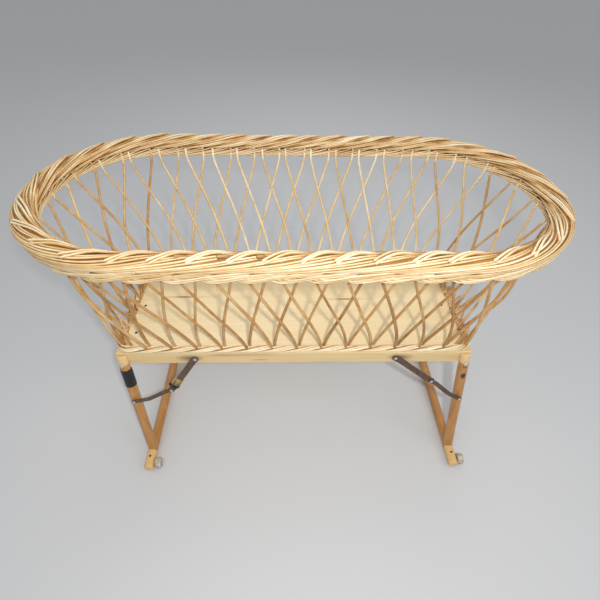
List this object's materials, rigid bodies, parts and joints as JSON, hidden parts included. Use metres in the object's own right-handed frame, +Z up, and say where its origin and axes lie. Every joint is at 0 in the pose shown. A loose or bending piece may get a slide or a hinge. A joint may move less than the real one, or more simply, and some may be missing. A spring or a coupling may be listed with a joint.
{
  "type": "bassinet on stand",
  "caption": "Long oval wicker bassinet with an open lattice of willow sticks and a thick rolled rim, on a folding dowel stand with small wheels and steel braces.",
  "frame": {"origin": "on the floor, below the middle of the basket", "axes": "+X along the basket towards its right end, +Y to the rear, +Z up"},
  "size_m": [1.11, 0.536, 0.706],
  "materials": {
    "willow": "peeled willow, satin, honey-brown",
    "pine": "bare pale pine",
    "plywood": "bare pale plywood with small knots",
    "dowel": "orange-brown varnish, worn",
    "brace_steel": "dull grey-brown, rusty",
    "fasteners": "dull steel",
    "wheel": "pale beige, dirty",
    "tape": "black cloth tape"
  },
  "bodies": {
    "basket": {"front_rail": "pine", "rear_rail": "pine", "left_end_rail": "pine", "right_end_rail": "pine", "bottom_board": "plywood", "base_wale": "willow", "front_wall": "willow", "rear_wall": "willow", "left_front_corner_wall": "willow", "left_end_front_wall": "willow", "left_end_rear_wall": "willow", "left_rear_corner_wall": "willow", "right_front_corner_wall": "willow", "right_end_front_wall": "willow", "right_end_rear_wall": "willow", "right_rear_corner_wall": "willow", "rim_wale": "willow", "rim_border": "willow", "left_front_pivot_bolt": "fasteners", "left_front_rail_screw": "fasteners", "left_rear_pivot_bolt": "fasteners", "left_rear_rail_screw": "fasteners", "right_front_pivot_bolt": "fasteners", "right_front_rail_screw": "fasteners", "right_rear_pivot_bolt": "fasteners", "right_rear_rail_screw": "fasteners"},
    "left_stand": {"left_floor_rail": "dowel", "left_front_leg": "dowel", "left_front_axle": "fasteners", "left_front_leg_screw": "fasteners", "left_rear_leg": "dowel", "left_rear_axle": "fasteners", "left_rear_leg_screw": "fasteners", "left_leg_tape": "tape"},
    "left_front_upper_arm": {"left_front_upper_brace": "brace_steel"},
    "left_front_lower_arm": {"left_front_lower_brace": "brace_steel", "left_front_knuckle_rivet": "fasteners"},
    "left_front_wheel": {"left_front_wheel": "wheel"},
    "left_rear_upper_arm": {"left_rear_upper_brace": "brace_steel"},
    "left_rear_lower_arm": {"left_rear_lower_brace": "brace_steel", "left_rear_knuckle_rivet": "fasteners"},
    "left_rear_wheel": {"left_rear_wheel": "wheel"},
    "right_stand": {"right_floor_rail": "dowel", "right_front_leg": "dowel", "right_front_axle": "fasteners", "right_front_leg_screw": "fasteners", "right_rear_leg": "dowel", "right_rear_axle": "fasteners", "right_rear_leg_screw": "fasteners"},
    "right_front_upper_arm": {"right_front_upper_brace": "brace_steel"},
    "right_front_lower_arm": {"right_front_lower_brace": "brace_steel", "right_front_knuckle_rivet": "fasteners"},
    "right_front_wheel": {"right_front_wheel": "wheel"},
    "right_rear_upper_arm": {"right_rear_upper_brace": "brace_steel"},
    "right_rear_lower_arm": {"right_rear_lower_brace": "brace_steel", "right_rear_knuckle_rivet": "fasteners"},
    "right_rear_wheel": {"right_rear_wheel": "wheel"}
  },
  "joints": [
    {"name": "left_stand_fold", "type": "hinge", "parent": "basket", "child": "left_stand", "pos_m": [-0.405, 0, 0.332], "axis": [0, -1, 0], "range_deg": [0, 42]},
    {"name": "left_front_rail_pin", "type": "hinge", "parent": "basket", "child": "left_front_upper_arm", "pos_m": [-0.237, 0, 0.3405], "axis": [0, -1, 0], "range_deg": [0, 40]},
    {"name": "left_front_leg_pin", "type": "hinge", "parent": "left_stand", "child": "left_front_lower_arm", "pos_m": [-0.39961, 0, 0.21763], "axis": [0, -1, 0], "range_deg": [-76, 0]},
    {"name": "left_front_wheel_spin", "type": "hinge", "parent": "left_stand", "child": "left_front_wheel", "pos_m": [-0.36817, -0.25, 0.0145], "axis": [1, 0, 0], "continuous": true},
    {"name": "left_rear_rail_pin", "type": "hinge", "parent": "basket", "child": "left_rear_upper_arm", "pos_m": [-0.237, 0, 0.3405], "axis": [0, -1, 0], "range_deg": [0, 40]},
    {"name": "left_rear_leg_pin", "type": "hinge", "parent": "left_stand", "child": "left_rear_lower_arm", "pos_m": [-0.39961, 0, 0.21763], "axis": [0, -1, 0], "range_deg": [-76, 0]},
    {"name": "left_rear_wheel_spin", "type": "hinge", "parent": "left_stand", "child": "left_rear_wheel", "pos_m": [-0.36817, 0.25, 0.0145], "axis": [1, 0, 0], "continuous": true},
    {"name": "right_stand_fold", "type": "hinge", "parent": "basket", "child": "right_stand", "pos_m": [0.405, 0, 0.332], "axis": [0, 1, 0], "range_deg": [0, 42]},
    {"name": "right_front_rail_pin", "type": "hinge", "parent": "basket", "child": "right_front_upper_arm", "pos_m": [0.237, 0, 0.3405], "axis": [0, 1, 0], "range_deg": [0, 56]},
    {"name": "right_front_leg_pin", "type": "hinge", "parent": "right_stand", "child": "right_front_lower_arm", "pos_m": [0.41438, 0, 0.21788], "axis": [0, 1, 0], "range_deg": [-89, 0]},
    {"name": "right_front_wheel_spin", "type": "hinge", "parent": "right_stand", "child": "right_front_wheel", "pos_m": [0.45286, -0.25, 0.0145], "axis": [1, 0, 0], "continuous": true},
    {"name": "right_rear_rail_pin", "type": "hinge", "parent": "basket", "child": "right_rear_upper_arm", "pos_m": [0.237, 0, 0.3405], "axis": [0, 1, 0], "range_deg": [0, 56]},
    {"name": "right_rear_leg_pin", "type": "hinge", "parent": "right_stand", "child": "right_rear_lower_arm", "pos_m": [0.41438, 0, 0.21788], "axis": [0, 1, 0], "range_deg": [-89, 0]},
    {"name": "right_rear_wheel_spin", "type": "hinge", "parent": "right_stand", "child": "right_rear_wheel", "pos_m": [0.45286, 0.25, 0.0145], "axis": [1, 0, 0], "continuous": true}
  ],
  "couplings": [
    {"joint": "left_front_rail_pin", "follows": "left_stand_fold", "ratio": 0.92513},
    {"joint": "left_front_leg_pin", "follows": "left_stand_fold", "ratio": -1.7711},
    {"joint": "left_rear_rail_pin", "follows": "left_stand_fold", "ratio": 0.92513},
    {"joint": "left_rear_leg_pin", "follows": "left_stand_fold", "ratio": -1.7711},
    {"joint": "right_front_rail_pin", "follows": "right_stand_fold", "ratio": 1.2928},
    {"joint": "right_front_leg_pin", "follows": "right_stand_fold", "ratio": -2.0757},
    {"joint": "right_rear_rail_pin", "follows": "right_stand_fold", "ratio": 1.2928},
    {"joint": "right_rear_leg_pin", "follows": "right_stand_fold", "ratio": -2.0757}
  ]
}
